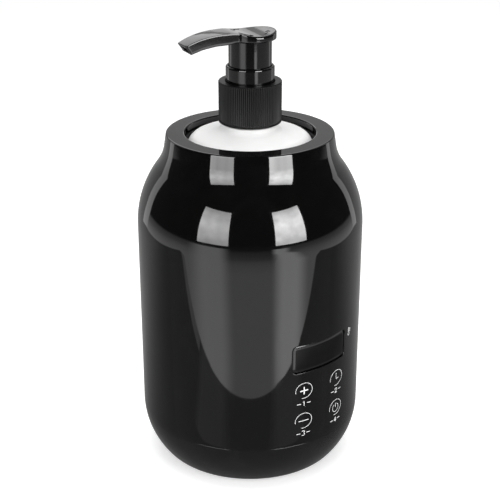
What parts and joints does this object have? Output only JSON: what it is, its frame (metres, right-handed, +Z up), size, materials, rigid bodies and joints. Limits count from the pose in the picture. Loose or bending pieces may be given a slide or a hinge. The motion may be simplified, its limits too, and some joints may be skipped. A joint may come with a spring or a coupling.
{
  "type": "massage oil warmer",
  "caption": "Round gloss black oil warmer with a display and touch keys, holding a white pump bottle in a heated well.",
  "frame": {"origin": "centre of the circle of feet, on the table", "axes": "+Z up along the pump's axis, -Y towards the display"},
  "size_m": [0.1, 0.1, 0.1975],
  "materials": {
    "shell_black": "polished",
    "base_black": "polished",
    "foot_rubber": "matte",
    "screw_steel": "zinc plated",
    "window_smoke": "smoked",
    "module_black": "matte",
    "board_green": "solder mask",
    "chip_black": "matte",
    "pad_foam": "conductive foam",
    "cup_aluminium": "black anodised",
    "seal_silicone": "silicone",
    "pad_silicone": "silicone",
    "film_orange": "silicone film",
    "felt": "needled felt",
    "strap_steel": "rolled",
    "support_plastic": "moulded",
    "sensor_metal": "turned",
    "cutout_ceramic": "ceramic",
    "relay_blue": "moulded",
    "capacitor_sleeve": "shrink sleeve",
    "connector_ivory": "moulded",
    "socket_black": "moulded",
    "nut_brass": "nickel plated",
    "wire_red": "insulation",
    "wire_white": "insulation",
    "wire_yellow": "insulation",
    "wire_blue": "insulation",
    "ribbon_grey": "insulation",
    "bottle_white": "blow moulded",
    "closure_black": "satin",
    "collar_black": "polished",
    "head_black": "satin",
    "pump_white": "moulded",
    "gasket_foam": "foam",
    "tube_clear": "extruded",
    "spring_steel": "drawn"
  },
  "bodies": {
    "warmer": {"outer_shell": "shell_black", "base_cover": "base_black", "foot_1": "foot_rubber", "foot_2": "foot_rubber", "foot_3": "foot_rubber", "foot_4": "foot_rubber", "display_window": "window_smoke", "heater_cup": "cup_aluminium", "cup_pad": "pad_silicone", "power_socket": "socket_black", "display_module": "module_black", "control_board": "board_green", "controller_chip": "chip_black", "board_screws": "screw_steel", "touch_pad_1": "pad_foam", "touch_pad_2": "pad_foam", "touch_pad_3": "pad_foam", "touch_pad_4": "pad_foam", "cup_seal": "seal_silicone", "heater_band": "film_orange", "felt_sleeve": "felt", "upper_strap": "strap_steel", "lower_strap": "strap_steel", "cup_support": "support_plastic", "temperature_sensor": "sensor_metal", "thermal_cutout": "cutout_ceramic", "sensor_bracket": "strap_steel", "bracket_screws": "screw_steel", "power_board": "board_green", "power_board_screws": "screw_steel", "relay": "relay_blue", "capacitor": "capacitor_sleeve", "buzzer": "chip_black", "board_connectors": "connector_ivory", "socket_nut": "nut_brass", "socket_leads": "wire_red", "heater_leads": "wire_white", "sensor_leads": "wire_yellow", "cutout_leads": "wire_blue", "panel_cable": "ribbon_grey", "base_screws": "screw_steel"},
    "bottle": {"bottle": "bottle_white"},
    "pump": {"pump_housing": "pump_white", "neck_gasket": "gasket_foam", "dip_tube": "tube_clear", "check_ball": "spring_steel", "return_spring": "spring_steel", "lock_collar": "collar_black"},
    "closure": {"closure": "closure_black"},
    "piston": {"piston": "pump_white"},
    "head": {"pump_stem": "pump_white", "pump_head": "head_black"}
  },
  "joints": [
    {"name": "bottle_lift", "type": "slide", "parent": "warmer", "child": "bottle", "axis": [0, 0, 1], "range_m": [0, 0.13]},
    {"name": "pump_rise", "type": "slide", "parent": "bottle", "child": "pump", "axis": [0, 0, 1], "range_m": [0, 0.0048]},
    {"name": "closure_turn", "type": "hinge", "parent": "pump", "child": "closure", "pos_m": [0, 0, 0.166], "axis": [0, 0, 1], "range_deg": [0, 540]},
    {"name": "head_press", "type": "slide", "parent": "pump", "child": "piston", "axis": [0, 0, -1], "range_m": [0, 0.0065], "stiffness_N_per_m": 700, "springref_m": -0.008, "deforming": ["return_spring"]},
    {"name": "head_turn", "type": "hinge", "parent": "piston", "child": "head", "pos_m": [0, 0, 0.19], "axis": [0, 0, 1], "range_deg": [0, 90]}
  ],
  "couplings": [
    {"joint": "pump_rise", "follows": "closure_turn", "m_per_rad": 0.00050611}
  ]
}
